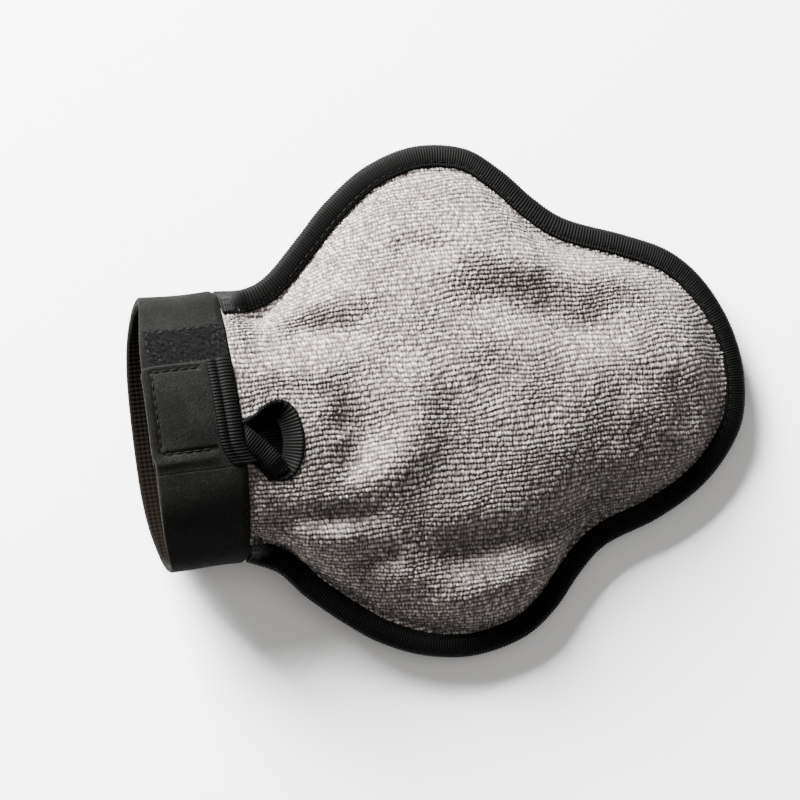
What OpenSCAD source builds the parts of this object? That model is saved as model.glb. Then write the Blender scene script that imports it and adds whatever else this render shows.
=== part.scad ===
// Three-lobed wash mitt: two pile-fabric faces with linings, a woven edge binding,
// and a foam cuff that closes over a slit with a hook-and-loop tab.
// The mitt lies on its back face. +X points to the fingertips, +Z out of the front face.

/* [Body] */
// Length from the cuff seam to the fingertip edge
body_l = 212; // [190:1:230]
// Width over the two thumb lobes
body_w = 201.5; // [185:0.5:215]
// Thickness of the pile fabric, loops included
terry_t = 2.8; // [2:0.1:4]
// Thickness of the knitted lining
lining_t = 0.8; // [0.5:0.1:1.2]
// Flat margin that the edge binding grips
flange = 10.5; // [9:0.5:12]
// How deeply the back face is pressed flat where it rests
rest_press = 0.6; // [0.4:0.1:1]

/* [Cuff] */
// Width of the cuff along the arm
cuff_w = 34; // [26:1:42]
// Width of the cuff tube across the wrist
cuff_across = 104; // [96:1:110]
// Height of the cuff tube
cuff_h = 57; // [48:1:62]
// Thickness of the foam band
band_t = 3; // [2:0.1:3.4]
// Thickness of the knit bonded inside the band
cuff_lining_t = 0.8; // [0.5:0.1:1]

/* [Closing tab] */
// Where the tab's hinge line crosses the mitt
hinge_y = -8; // [-10:0.5:-6]
// How far the tab's free end reaches past the middle
tab_reach = 24.5; // [20:1:30]
// How far the tab stands past the cuff towards the arm
tab_proud = 1; // [0:0.5:2]
// Thickness of the hook patch and of the loop patch
patch_t = 1.1; // [0.8:0.1:1.3]

/* [Binding] */
// Thickness of the woven tape
tape_t = 0.8; // [0.5:0.1:1]
// Depth of the tape on each face of the edge
tape_leg = 10; // [8:0.5:10]
// Depth of the tape round the slit
slit_leg = 7.5; // [6:0.5:8]
// Depth of the tape on each face of the tab
tab_leg = 9; // [8:0.5:11]

/* [Hidden] */

// Stations along the body at its nominal size, in mm: distance from the cuff seam, lower edge,
// upper edge, height of the edge seam, height of the hand pocket above the seam and below it.
NOMINAL_L = 211;
NOMINAL_W = 201.5;
NOMINAL_H = 57;
STATIONS = [
    [0, -52, 52, 28.5, 25, 24.9],
    [12, -58, 52, 25.5, 26.5, 21.9],
    [22, -69, 56.5, 22, 29, 18.4],
    [36, -81, 69, 17.5, 31, 13.9],
    [50, -90.5, 82, 13.5, 32.5, 9.9],
    [68, -98, 94.5, 10.5, 33.5, 6.9],
    [88, -101, 100.5, 9, 33.5, 5.4],
    [108, -97, 97.5, 8.5, 32.5, 4.9],
    [122, -87.5, 87, 8.5, 31, 4.9],
    [134, -74, 74.5, 8.5, 29.5, 4.9],
    [146, -64.5, 65.5, 8.5, 27.5, 4.9],
    [168, -57.5, 57, 8.5, 21.5, 4.9],
    [186, -48, 48, 8.5, 14, 4.4],
    [199, -36, 34.5, 8.5, 2, 1],
    [208, -21.5, 16, 8.5, 0, 0],
    [211, -3, -3, 8.5, 0, 0],
];
// The edge turns back at the fingertip, so the row past the last one has its edges swapped.
PAST_TIP = [208, 16, -21.5, 8.5, 0, 0];
LAST = len(STATIONS) - 1;

seam_x = -(body_l - cuff_w - tab_proud) / 2;
tip_x = seam_x + body_l;
mouth_x = seam_x - cuff_w;
scale_row = [body_l / NOMINAL_L, body_w / NOMINAL_W, body_w / NOMINAL_W,
    cuff_h / NOMINAL_H, cuff_h / NOMINAL_H, cuff_h / NOMINAL_H];
face_t = lining_t + terry_t;

function smooth(f) = let (c = min(1, max(0, f))) c * c * (3 - 2 * c);
function unit(v) = v / max(norm(v), 0.0001);
function catmull(a, b, c, d, f) =
    b + 0.5 * f * (c - a + f * (2 * a - 5 * b + 4 * c - d + f * (3 * (b - c) + d - a)));
function row(i) = i < 0 ? 2 * STATIONS[0] - STATIONS[1] : i > LAST ? PAST_TIP : STATIONS[i];
// A station at any place between the rows, at the mitt's own size, measured from the cuff seam.
function raw_station(t) = let (i = min(floor(t), LAST - 1))
    catmull(row(i - 1), row(i), row(i + 1), row(i + 2), t - i);
function station(t) = let (r = raw_station(t)) [for (k = [0:5]) r[k] * scale_row[k]];
STEP = 0.5;
TIMES = concat([for (t = [0:STEP:LAST - STEP]) t], [LAST - 0.25]);
// The flat margin is measured square to the edge, so it widens across the mitt where the edge slants.
function margin(t) =
    let (a = station(max(0, t - 0.1)), b = station(min(LAST, t + 0.1)), c = station(t))
    let (slope = (abs(b[1] - a[1]) + abs(b[2] - a[2])) / 2 / max(0.05, b[0] - a[0]))
    min(flange * sqrt(1 + slope * slope), 0.475 * (c[2] - c[1]));
ROWS = [for (t = TIMES) concat(station(t), [margin(t)])];

// One column of the stations against distance from the seam.
function column(k) = [for (r = ROWS) [r[0], r[k]]];
LOWER = column(1);
UPPER = column(2);
RIM = column(3);
ABOVE = column(4);
MARGIN = column(6);
function rim_z(x) = lookup(x - seam_x, RIM);

// The crown of a face across the mitt: 0 on the flat margin and 1 in the middle.
function crown(u, inner, side, from_seam) =
    abs(u) >= inner ? 0
    : side > 0 ? pow(1 - pow(abs(u) / inner, 2), 0.5 + 0.25 * smooth(from_seam / 60))
    : pow(1 - pow(abs(u) / inner, 2 + 2 * smooth(from_seam / 60)), 0.5 + 0.3 * smooth(from_seam / 60));
LEVELS = [0, lining_t, face_t];

// Places across one station: the margin, then steps that crowd towards it.
ACROSS = 12;
function places(inner) = concat([-1],
    [for (j = [0:ACROSS]) max(0.5, inner) * sin(-90 + 180 * j / ACROSS)], [1]);
POINTS_ACROSS = ACROSS + 3;

function edge_inset(y_low, y_high) = max(0.2, (y_high - y_low) / 2 - tape_t - 0.1);
function grid_level(side, level) = [for (r = ROWS)
    let (half = edge_inset(r[1], r[2]), mid = (r[1] + r[2]) / 2, inner = 1 - r[6] / half)
    for (u = places(inner))
        let (pocket = max(0, side > 0 ? r[4] : r[5] + rest_press) * crown(u, inner, side, r[0]))
        [seam_x + r[0] * (1 - (tape_t + 0.1) / body_l), mid + half * u,
            r[3] + side * (pocket + LEVELS[level])]];

// A closed solid between two grids of points with the same layout, the first below the second.
function sheet_faces(rows, cols) = let (n = rows * cols) concat(
    [for (i = [0:rows - 2], j = [0:cols - 2], f = [0, 1]) let (a = i * cols + j, b = a + cols)
        f == 0 ? [a, b, b + 1] : [a, b + 1, a + 1]],
    [for (i = [0:rows - 2], j = [0:cols - 2], f = [0, 1]) let (a = n + i * cols + j, b = a + cols)
        f == 0 ? [a, b + 1, b] : [a, a + 1, b + 1]],
    [for (i = [0:rows - 2], f = [0, 1]) let (a = i * cols, b = a + cols)
        f == 0 ? [a, n + a, n + b] : [a, n + b, b]],
    [for (i = [0:rows - 2], f = [0, 1]) let (a = i * cols + cols - 1, b = a + cols)
        f == 0 ? [a, n + b, n + a] : [a, b, n + b]],
    [for (j = [0:cols - 2], f = [0, 1]) let (a = j, b = j + 1)
        f == 0 ? [a, n + b, n + a] : [a, b, n + b]],
    [for (j = [0:cols - 2], f = [0, 1]) let (a = (rows - 1) * cols + j, b = a + 1)
        f == 0 ? [a, n + a, n + b] : [a, n + b, b]]);
module face_layer(side, level) {
    low = side > 0 ? level : level + 1;
    high = side > 0 ? level + 1 : level;
    polyhedron(concat(grid_level(side, low), grid_level(side, high)),
        sheet_faces(len(ROWS), POINTS_ACROSS), convexity = 6);
}

// The front face's outer surface at any place.
function front_z(x, y) = let (d = x - seam_x, low = lookup(d, LOWER), high = lookup(d, UPPER))
    let (half = edge_inset(low, high), u = (y - (low + high) / 2) / half)
    lookup(d, RIM) + lookup(d, ABOVE) * crown(u, 1 - lookup(d, MARGIN) / half, 1, d) + face_t;

// The slit in the front face: a rounded triangle with its point at the cuff seam.
SLIT = [[0, -3.5], [6.5, -0.5], [13, 3.4], [17, 2.4], [19, -5], [17.8, -14], [13.5, -18.5], [7, -13.2], [0, -6.5]];
SLIT_STEP = 0.25;
function slit_row(i) = SLIT[max(0, min(len(SLIT) - 1, i))];
function slit_at(t) = let (i = min(floor(t), len(SLIT) - 2))
    catmull(slit_row(i - 1), slit_row(i), slit_row(i + 1), slit_row(i + 2), t - i) + [seam_x, 0];
SLIT_TIMES = [for (t = [0:SLIT_STEP:len(SLIT) - 1]) t];
function slit_out(t) = let (d = unit(slit_at(min(t + 0.1, len(SLIT) - 1)) - slit_at(max(t - 0.1, 0))))
    [-d[1], d[0]];
SLIT_EDGE = [for (t = SLIT_TIMES) slit_at(t)];
module slit_prism() {
    translate([0, 0, rim_z(seam_x)]) linear_extrude(cuff_h)
        polygon(concat([[seam_x - 1, -6], [seam_x - 1, -3.5]], SLIT_EDGE));
}

// A tube with the given cross sections, each a ring of points, closed at both ends by the cap's triangles.
module loft(rings, cap) {
    n = len(rings);
    m = len(rings[0]);
    polyhedron([for (r = rings, p = r) p], concat(
        [for (i = [0:n - 2], j = [0:m - 1], f = [0, 1])
            let (a = i * m + j, b = i * m + (j + 1) % m)
            f == 0 ? [a, a + m, b + m] : [a, b + m, b]],
        cap, [for (c = cap) [for (k = [2:-1:0]) (n - 1) * m + c[k]]]), convexity = 8);
}

// The binding's outer edge, from the upper corner of the cuff seam round to the lower one.
EDGE_TIMES = concat([for (t = [0.08, 0.5]) t], [for (t = [1:STEP:LAST - STEP]) t], [LAST - 0.25]);
function edge_point(t, up) = let (r = station(t)) [seam_x + r[0], up ? r[2] : r[1]];
function edge_frame(t, up) =
    let (d = unit(edge_point(min(t + 0.02, LAST), up) - edge_point(t - 0.02, up)))
    [edge_point(t, up), up ? [-d[1], d[0]] : [d[1], -d[0]]];
EDGE = concat([for (t = EDGE_TIMES) edge_frame(t, true)],
    [[edge_point(LAST, true), [1, 0]]],
    [for (k = [len(EDGE_TIMES) - 1:-1:0]) edge_frame(EDGE_TIMES[k], false)]);
GRIP = 0.12;
FOLD_CAP = [[0, 1, 2], [0, 2, 11], [2, 3, 11], [3, 4, 11], [4, 5, 11], [5, 10, 11], [5, 6, 10],
    [6, 7, 10], [7, 9, 10], [7, 8, 9]];
SQUARE_FOLD_CAP = [[0, 1, 2], [0, 2, 3], [0, 3, 4], [0, 4, 7], [4, 5, 6], [4, 6, 7]];
// The folded tape in cross section: distance inwards from its outer edge, and height from the seam.
function fold_section(leg, inside, tape) = [
    [leg, inside], [leg, inside + tape], [1.4, inside + tape], [0.4, inside], [0, inside * 0.5],
    [0, -inside * 0.5], [0.4, -inside], [1.4, -inside - tape], [leg, -inside - tape],
    [leg, -inside], [tape, -inside], [tape, inside]];
function edge_ring(frame, section) =
    let (outer = rim_z(frame[0][0]), inner = rim_z(frame[0][0] - frame[1][0] * tape_leg))
    [for (s = section) let (p = frame[0] - frame[1] * s[0])
        [p[0], p[1], outer + (inner - outer) * s[0] / tape_leg + s[1]]];

// The cuff as a flattened tube: a point at an angle from the top, and a distance out of its middle skin.
half_across = cuff_across / 2 - band_t / 2;
half_high = cuff_h / 2 - band_t / 2;
function tube_point(phi, out) =
    [half_across * sin(phi), cuff_h / 2 + half_high * cos(phi)]
    + out * unit([half_high * sin(phi), half_across * cos(phi)]);
function phi_of(y) = asin(y / half_across);
HINGE_PHI = phi_of(hinge_y);
UNDERLAP_PHI = HINGE_PHI - 4;
TAB_PHI = phi_of(tab_reach);
// Each lap leaves the tube's own line by half the lift: the underlap inwards, the overlap outwards.
FASTENER_GAP = 0.3;
lift = band_t + cuff_lining_t + 2 * patch_t + FASTENER_GAP;
function lap(phi) = phi < 180 ? -lift / 2 * (1 - smooth((phi - TAB_PHI - 3) / 50))
    : lift / 2 * smooth((phi - 300) / 40);
TUBE_STEP = 5;
function angles(a, b) = let (n = max(2, ceil((b - a) / TUBE_STEP))) [for (i = [0:n]) a + (b - a) * i / n];
// A strip of the tube between two angles and two distances from the middle skin.
module strip(x0, x1, phi0, phi1, low, high) {
    list = angles(phi0, phi1);
    translate([x0, 0, 0]) rotate([90, 0, 90]) linear_extrude(x1 - x0) polygon(concat(
        [for (p = list) tube_point(p, lap(p) + high)],
        [for (k = [len(list) - 1:-1:0]) tube_point(list[k], lap(list[k]) + low)]));
}
TAB_START = 360 + HINGE_PHI + 0.35;
TAB_END = 360 + TAB_PHI;
// The tab's seam side leans back from the seam towards its free end.
tab_x0 = mouth_x - tab_proud;
tab_x1 = seam_x - 1.4;
tab_side = 1.5;

// A thread laid on a surface as separate stitches, each a short round bar between two points.
thread_r = 0.3;
module stitch(a, b) {
    v = b - a;
    translate(a) rotate([0, acos(v[2] / norm(v)), atan2(v[1], v[0])])
        cylinder(r = thread_r, h = norm(v), $fn = 16);
}
STITCH = 2.4;
STITCH_GAP = 1.1;
function lengths(path, i = 0, sum = 0) = i >= len(path) - 1 ? [sum]
    : concat([sum], lengths(path, i + 1, sum + norm(path[i + 1] - path[i])));
function along(path, marks, s) = let (pairs = [for (k = [0:len(path[0]) - 1])
    lookup(s, [for (i = [0:len(path) - 1]) [marks[i], path[i][k]]])]) pairs;
module stitches(path) {
    marks = lengths(path);
    total = marks[len(marks) - 1];
    n = floor(total / (STITCH + STITCH_GAP));
    pitch = total / n;
    for (i = [0:n - 1])
        stitch(along(path, marks, i * pitch + STITCH_GAP / 2),
            along(path, marks, (i + 1) * pitch - STITCH_GAP / 2));
}

module front_terry() {
    color("darkgray") difference() {
        face_layer(1, 1);
        slit_prism();
    }
}
module front_lining() {
    color("dimgray") difference() {
        face_layer(1, 0);
        slit_prism();
    }
}
// The back face is worn flat where it rests.
module back_terry() {
    color("darkgray") difference() {
        face_layer(-1, 1);
        translate([-body_l, -body_w, -10]) cube([2 * body_l, 2 * body_w, 10]);
    }
}
module back_lining() {
    color("dimgray") face_layer(-1, 0);
}
module edge_binding() {
    section = fold_section(tape_leg, face_t + GRIP, tape_t);
    color([0.13, 0.13, 0.12]) loft([for (f = EDGE) edge_ring(f, section)], FOLD_CAP);
}
// The slit's tape wraps the cut edges of the terry and the lining together.
SLIT_WRAP = 0.35;
function slit_ring(t) = let (p = slit_at(t), out = slit_out(t))
    [for (s = [[0, 1], [slit_leg, 1], [slit_leg, 0], [tape_t, 0], [tape_t, -1], [slit_leg, -1],
            [slit_leg, -2], [0, -2]])
        let (q = p + out * (s[0] - tape_t - 0.1), x = max(seam_x + 0.1, q[0]), top = front_z(x, q[1]))
        [x, q[1], s[1] == 1 ? top + GRIP + tape_t : s[1] == 0 ? top + GRIP
            : s[1] == -1 ? top - face_t - GRIP - SLIT_WRAP : top - face_t - GRIP - SLIT_WRAP - tape_t]];
module slit_binding() {
    color([0.12, 0.12, 0.11]) loft([for (t = SLIT_TIMES) if (t > 0.2 && t < len(SLIT) - 1.2) slit_ring(t)],
        SQUARE_FOLD_CAP);
}
module cuff_band() {
    color([0.16, 0.16, 0.16])
        strip(mouth_x, seam_x, UNDERLAP_PHI, 360 + HINGE_PHI, -band_t / 2, band_t / 2);
}
module cuff_lining() {
    color([0.2, 0.17, 0.15])
        strip(mouth_x, seam_x, UNDERLAP_PHI, 360 + HINGE_PHI, -band_t / 2 - cuff_lining_t, -band_t / 2);
}
patch_margin = 2.5;
LOOP_PHI = phi_of(39);
module loop_patch() {
    color([0.08, 0.08, 0.08]) strip(mouth_x + patch_margin, seam_x - patch_margin, HINGE_PHI + 6,
        LOOP_PHI, band_t / 2, band_t / 2 + patch_t);
}
// Rows of thread on the two legs of the edge binding.
module edge_thread(side) {
    rise = face_t + GRIP + tape_t + thread_r + 0.05;
    stitches([for (f = EDGE) let (p = f[0] - f[1] * (tape_leg - 1.3))
        [max(p[0], seam_x + 0.5), p[1], rim_z(p[0]) + side * rise]]);
}
module front_edge_thread() {
    color([0.1, 0.1, 0.1]) edge_thread(1);
}
module back_edge_thread() {
    color([0.1, 0.1, 0.1]) edge_thread(-1);
}
module cuff_seam_thread() {
    rise = band_t / 2 + thread_r + 0.15;
    // the row is sunk in the foam along the bottom, so it is left out there
    color([0.1, 0.1, 0.1]) for (run = [[LOOP_PHI + 4, 163], [197, 360 + HINGE_PHI - 3]])
        stitches([for (p = angles(run[0], run[1]))
            let (q = tube_point(p, lap(p) + rise)) [seam_x - 1.5, q[0], q[1]]]);
}
module slit_thread() {
    color([0.1, 0.1, 0.1]) stitches([for (t = SLIT_TIMES) if (t > 1.2 && t < len(SLIT) - 2.2)
        let (q = slit_at(t) + slit_out(t) * (slit_leg - 2))
        [q[0], q[1], front_z(q[0], q[1]) + GRIP + tape_t + thread_r + 0.1]]);
}
module loop_patch_thread() {
    rise = band_t / 2 + patch_t + thread_r + 0.1;
    inset = patch_margin + 1.2;
    phis = angles(TAB_PHI + 4, LOOP_PHI - 2);
    ends = [mouth_x + inset, seam_x - inset];
    path = concat([for (p = phis) let (q = tube_point(p, lap(p) + rise)) [ends[0], q[0], q[1]]],
        [for (k = [len(phis) - 1:-1:0])
            let (p = phis[k], q = tube_point(p, lap(p) + rise)) [ends[1], q[0], q[1]]]);
    color([0.1, 0.1, 0.1]) stitches(path);
}
// A dense block of thread that pins each end of the edge binding to the cuff.
module bar_tack(y, side) {
    for (i = [0:5])
        translate([seam_x + 1.2 + i * 0.75, y, rim_z(seam_x) + face_t + GRIP + tape_t + thread_r + 0.05])
            rotate([90 * side, 0, 0]) cylinder(r = thread_r, h = 6, $fn = 16);
}
tack_inset = 1.8;
module upper_bar_tack() {
    color([0.1, 0.1, 0.1]) bar_tack(cuff_across / 2 - tack_inset, 1);
}
module lower_bar_tack() {
    color([0.1, 0.1, 0.1]) bar_tack(-cuff_across / 2 + tack_inset, -1);
}
// The tab's outline seen along its hinge-to-end direction, as a wedge taken off its seam side.
module tab_side_cut() {
    translate([0, 0, cuff_h / 2]) linear_extrude(cuff_h) polygon([[tab_x1, hinge_y - 1],
        [tab_x1 - tab_side, tab_reach + 2], [seam_x + 2, tab_reach + 2], [seam_x + 2, hinge_y - 1]]);
}
module tab_strip(x0, x1, start, end, low, high) {
    difference() {
        strip(x0, x1, start, end, low, high);
        tab_side_cut();
    }
}
module tab_band() {
    color([0.16, 0.16, 0.16]) tab_strip(tab_x0, seam_x, TAB_START, TAB_END, -band_t / 2, band_t / 2);
}
module tab_lining() {
    color([0.2, 0.17, 0.15])
        tab_strip(tab_x0, seam_x, TAB_START, TAB_END, -band_t / 2 - cuff_lining_t, -band_t / 2);
}
module hook_patch() {
    color([0.08, 0.08, 0.08]) strip(mouth_x + patch_margin, tab_x1 - tab_side - tab_leg - 0.5,
        360 + HINGE_PHI + 4, TAB_END - 3, -band_t / 2 - cuff_lining_t - patch_t, -band_t / 2 - cuff_lining_t);
}
// The tape folded over the tab's seam side, from the hinge line to the free end.
function tab_ring(phi) =
    let (lower = -band_t / 2 - cuff_lining_t, upper = band_t / 2, share = (phi - TAB_START) / (TAB_END - TAB_START))
    [for (s = [[0.7, lower - 0.6], [-tab_leg, lower - 0.6], [-tab_leg, lower - 0.05],
            [0.05, lower - 0.05], [0.05, upper + 0.05], [-tab_leg, upper + 0.05],
            [-tab_leg, upper + 0.7], [0.7, upper + 0.7]])
        let (q = tube_point(phi, lap(phi) + s[1])) [tab_x1 - tab_side * share + s[0], q[0], q[1]]];
module tab_binding() {
    color([0.13, 0.13, 0.12]) loft([for (p = angles(TAB_START + 0.4, TAB_END)) tab_ring(p)], SQUARE_FOLD_CAP);
}
module tab_box_thread() {
    rise = band_t / 2 + thread_r + 0.15;
    phis = angles(360 + HINGE_PHI + 3, TAB_END - 3);
    x0 = tab_x0 + 3;
    x1 = tab_x1 - tab_side - tab_leg - 1;
    path = concat([for (p = phis) let (q = tube_point(p, lap(p) + rise)) [x0, q[0], q[1]]],
        [for (k = [len(phis) - 1:-1:0])
            let (p = phis[k], q = tube_point(p, lap(p) + rise)) [x1, q[0], q[1]]],
        [let (p = phis[0], q = tube_point(p, lap(p) + rise)) [x0 + 1, q[0], q[1]]]);
    color([0.1, 0.1, 0.1]) stitches(path);
}
module tab_binding_thread() {
    rise = band_t / 2 + 0.7 + thread_r + 0.15;
    color([0.1, 0.1, 0.1]) stitches([for (p = angles(TAB_START + 1, TAB_END - 1))
        let (q = tube_point(p, lap(p) + rise), share = (p - TAB_START) / (TAB_END - TAB_START))
        [tab_x1 - tab_side * share - tab_leg + 1.3, q[0], q[1]]]);
}

front_terry();
front_lining();
back_terry();
back_lining();
edge_binding();
slit_binding();
cuff_band();
cuff_lining();
loop_patch();
front_edge_thread();
back_edge_thread();
cuff_seam_thread();
slit_thread();
loop_patch_thread();
upper_bar_tack();
lower_bar_tack();
tab_band();
tab_lining();
hook_patch();
tab_binding();
tab_box_thread();
tab_binding_thread();
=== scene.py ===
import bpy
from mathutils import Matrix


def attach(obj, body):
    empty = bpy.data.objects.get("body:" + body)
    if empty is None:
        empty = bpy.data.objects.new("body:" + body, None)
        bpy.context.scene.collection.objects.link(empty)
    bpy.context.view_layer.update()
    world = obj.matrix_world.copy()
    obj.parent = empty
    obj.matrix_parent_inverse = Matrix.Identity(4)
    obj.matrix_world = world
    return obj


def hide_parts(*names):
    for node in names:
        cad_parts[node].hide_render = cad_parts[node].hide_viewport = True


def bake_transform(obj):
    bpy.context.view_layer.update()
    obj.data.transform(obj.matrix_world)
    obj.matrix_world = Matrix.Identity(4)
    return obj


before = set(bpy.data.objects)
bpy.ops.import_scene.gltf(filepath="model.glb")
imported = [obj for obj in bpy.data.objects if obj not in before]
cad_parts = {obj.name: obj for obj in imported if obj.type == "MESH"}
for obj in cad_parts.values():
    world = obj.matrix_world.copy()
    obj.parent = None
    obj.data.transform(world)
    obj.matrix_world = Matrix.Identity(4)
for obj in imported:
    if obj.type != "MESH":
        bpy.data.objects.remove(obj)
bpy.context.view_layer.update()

import math
import bpy
import numpy as np
from mathutils import Matrix, Vector

# ---------------------------------------------------------------------------
# The mitt's pattern, in millimetres: distance from the cuff seam, lower edge, upper edge,
# height of the edge seam, height of the hand pocket above the seam and below it.
# ---------------------------------------------------------------------------
PATTERN = np.array([
    [0, -52, 52, 28.5, 25, 24.9],
    [12, -58, 52, 25.5, 26.5, 21.9],
    [22, -69, 56.5, 22, 29, 18.4],
    [36, -81, 69, 17.5, 31, 13.9],
    [50, -90.5, 82, 13.5, 32.5, 9.9],
    [68, -98, 94.5, 10.5, 33.5, 6.9],
    [88, -101, 100.5, 9, 33.5, 5.4],
    [108, -97, 97.5, 8.5, 32.5, 4.9],
    [122, -87.5, 87, 8.5, 31, 4.9],
    [134, -74, 74.5, 8.5, 29.5, 4.9],
    [146, -64.5, 65.5, 8.5, 27.5, 4.9],
    [168, -57.5, 57, 8.5, 21.5, 4.9],
    [186, -48, 48, 8.5, 14, 4.4],
    [199, -36, 34.5, 8.5, 2, 1],
    [208, -21.5, 16, 8.5, 0, 0],
    [211, -3, -3, 8.5, 0, 0],
])
PAST_TIP = np.array([208.0, 16, -21.5, 8.5, 0, 0])
SEAM_X = -88.5
MOUTH_X = -122.5
BODY_L = 212.0
PATTERN[:, 0] *= BODY_L / 211
PAST_TIP[0] *= BODY_L / 211
HALF_ACROSS, HALF_HIGH, MIDDLE_Z = 50.5, 27.0, 28.5
FLANGE = 10.5
FACE_T = 3.6
TAPE_LEG = 9.2
CHANCE = np.random.default_rng(11)


def smooth(f):
    c = np.clip(f, 0, 1)
    return c * c * (3 - 2 * c)


def catmull(knots, times, before, after):
    """A smooth curve through the knots at the given times, with one more knot past each end."""
    rows = np.vstack([before, knots, after])
    i = np.clip(np.floor(times).astype(int), 0, len(knots) - 2)
    f = (times - i)[:, None]
    a, b, c, d = rows[i], rows[i + 1], rows[i + 2], rows[i + 3]
    return b + 0.5 * f * (c - a + f * (2 * a - 5 * b + 4 * c - d + f * (3 * (b - c) + d - a)))


def free_curve(knots, n):
    """n points along a smooth curve through the knots, its ends held."""
    k = np.array(knots, float)
    return catmull(k, np.linspace(0, len(k) - 1, n), 2 * k[0] - k[1], 2 * k[-1] - k[-2])


TABLE = catmull(PATTERN, np.linspace(0, len(PATTERN) - 1, 3001), 2 * PATTERN[0] - PATTERN[1], PAST_TIP)
ALONG = TABLE[:, 0]
SLOPE = (np.abs(np.gradient(TABLE[:, 1])) + np.abs(np.gradient(TABLE[:, 2]))) / 2 / np.maximum(
    np.gradient(ALONG), 1e-4)
MARGIN = np.minimum(FLANGE * np.sqrt(1 + SLOPE ** 2), 0.475 * (TABLE[:, 2] - TABLE[:, 1]))


def column(k, d):
    return np.interp(d, ALONG, TABLE[:, k])


def pocket(side, d, y):
    """How far a face stands off the seam plane over the hand, before its own thickness."""
    low, high = column(1, d), column(2, d)
    half = np.maximum((high - low) / 2 - 0.9, 0.2)
    inner = np.maximum(1 - np.interp(d, ALONG, MARGIN) / half, 0.02)
    v = np.clip(np.abs(y - (low + high) / 2) / half / inner, 0, 1)
    near = smooth(d / 60)
    if side > 0:
        return np.maximum(column(4, d), 0) * (1 - v ** 2) ** (0.5 + 0.25 * near)
    return (np.maximum(column(5, d), 0) + 0.6) * (1 - v ** (2 + 2 * near)) ** (0.5 + 0.3 * near)


def outline():
    """The mitt's outer edge from the upper corner of the cuff seam round the fingertips to the lower one."""
    upper = np.column_stack([SEAM_X + ALONG, TABLE[:, 2]])
    lower = np.column_stack([SEAM_X + ALONG, TABLE[:, 1]])[::-1]
    return np.vstack([upper, lower[1:]])


def resample(points, step):
    """The same run of points at an even step, with the distance along it."""
    s = np.concatenate([[0], np.cumsum(np.linalg.norm(np.diff(points, axis=0), axis=1))])
    keep = np.concatenate([[True], np.diff(s) > 1e-9])
    s, points = s[keep], points[keep]
    at = np.linspace(0, s[-1], max(2, int(round(s[-1] / step)) + 1))
    return np.column_stack([np.interp(at, s, points[:, k]) for k in range(points.shape[1])]), at


EDGE_COARSE, _ = resample(outline(), 1.2)


def nearest(x, y, points):
    """Distance from each place to the nearest of a few points, and which one it is."""
    flat_x, flat_y = x.ravel(), y.ravel()
    best, which = np.empty(len(flat_x)), np.empty(len(flat_x), int)
    for k in range(0, len(flat_x), 20000):
        d2 = (flat_x[k:k + 20000, None] - points[None, :, 0]) ** 2 + (
            flat_y[k:k + 20000, None] - points[None, :, 1]) ** 2
        which[k:k + 20000] = d2.argmin(1)
        best[k:k + 20000] = np.sqrt(d2.min(1))
    return best.reshape(x.shape), which.reshape(x.shape)


# Folds that the hand and the slit pull into the front face: a run of places, half width, height.
FRONT_FOLDS = [
    ([(-80, 47), (-60, 45), (-39, 45), (-20, 46)], 6.5, 2.2),
    ([(-70, 34), (-50, 31), (-28, 29)], 6.5, -4.0),
    ([(-84, 20), (-63, 18), (-40, 14)], 6.5, 1.6),
    ([(-56, 3), (-47, -3), (-43, -10), (-48, -20), (-62, -27)], 7.5, -3.4),
    ([(-28, 26), (-17, 6), (-20, -10), (-34, -24), (-62, -31)], 9.5, 2.8),
    ([(-8, 72), (12, 60), (30, 50), (50, 44), (72, 40), (94, 34)], 8, 3.8),
    ([(-6, 47), (16, 37), (36, 27), (58, 21), (84, 19)], 9, -4.2),
    ([(-20, 61), (-6, 59), (10, 56)], 5.5, -2.6),
    ([(8, 78), (20, 74), (34, 70)], 4, -1.5),
    ([(-38, -56), (-4, -59), (24, -55), (48, -48), (80, -40)], 9, -4.4),
    ([(-20, -77), (7, -75), (32, -69)], 8, 2),
    ([(-82, -36), (-54, -38), (-28, -40)], 4.5, -2.2),
    ([(-84, -44), (-62, -46), (-42, -48)], 4.5, 1.8),
    ([(-50, -55), (-38, -57), (-26, -56)], 5, -2.4),
    ([(84, 2), (92, -12), (90, -26)], 6, -1.6),
    ([(60, -8), (76, -16), (88, -30)], 6, 1.2),
]
BACK_FOLDS = [
    ([(-70, 30), (-45, 40), (-20, 58)], 6, 1.6),
    ([(-70, -30), (-45, -42), (-20, -60)], 6, 1.6),
    ([(30, 60), (20, 78), (0, 84)], 6, 1.4),
    ([(34, -60), (20, -76), (0, -84)], 6, 1.4),
]


def folds(strokes, x, y):
    total = np.zeros_like(x)
    for knots, width, height in strokes:
        path = free_curve(knots, 48) + [SEAM_X + 88, 0]
        weight = smooth(np.minimum(np.linspace(0, 1, 48), np.linspace(1, 0, 48)) / 0.3)
        reach = (x > path[:, 0].min() - 3 * width) & (x < path[:, 0].max() + 3 * width) & (
            y > path[:, 1].min() - 3 * width) & (y < path[:, 1].max() + 3 * width)
        if reach.any():
            away, which = nearest(x[reach], y[reach], path)
            total[reach] += 1.35 * height * weight[which] * np.exp(-(away / width) ** 2)
    return total


WAVES = [(CHANCE.uniform(0, 2 * np.pi), CHANCE.uniform(0, 2 * np.pi), CHANCE.uniform(0.7, 1.3)) for _ in range(14)]


def ripple(x, y, length):
    """A soft uneven wave over a surface, about -1 to 1, of the given wavelength."""
    total = np.zeros_like(x)
    for turn, phase, stretch in WAVES:
        k = 2 * np.pi / (length * stretch)
        total = total + np.sin(k * (x * np.cos(turn) + y * np.sin(turn)) + phase)
    return total / 4.0


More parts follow.
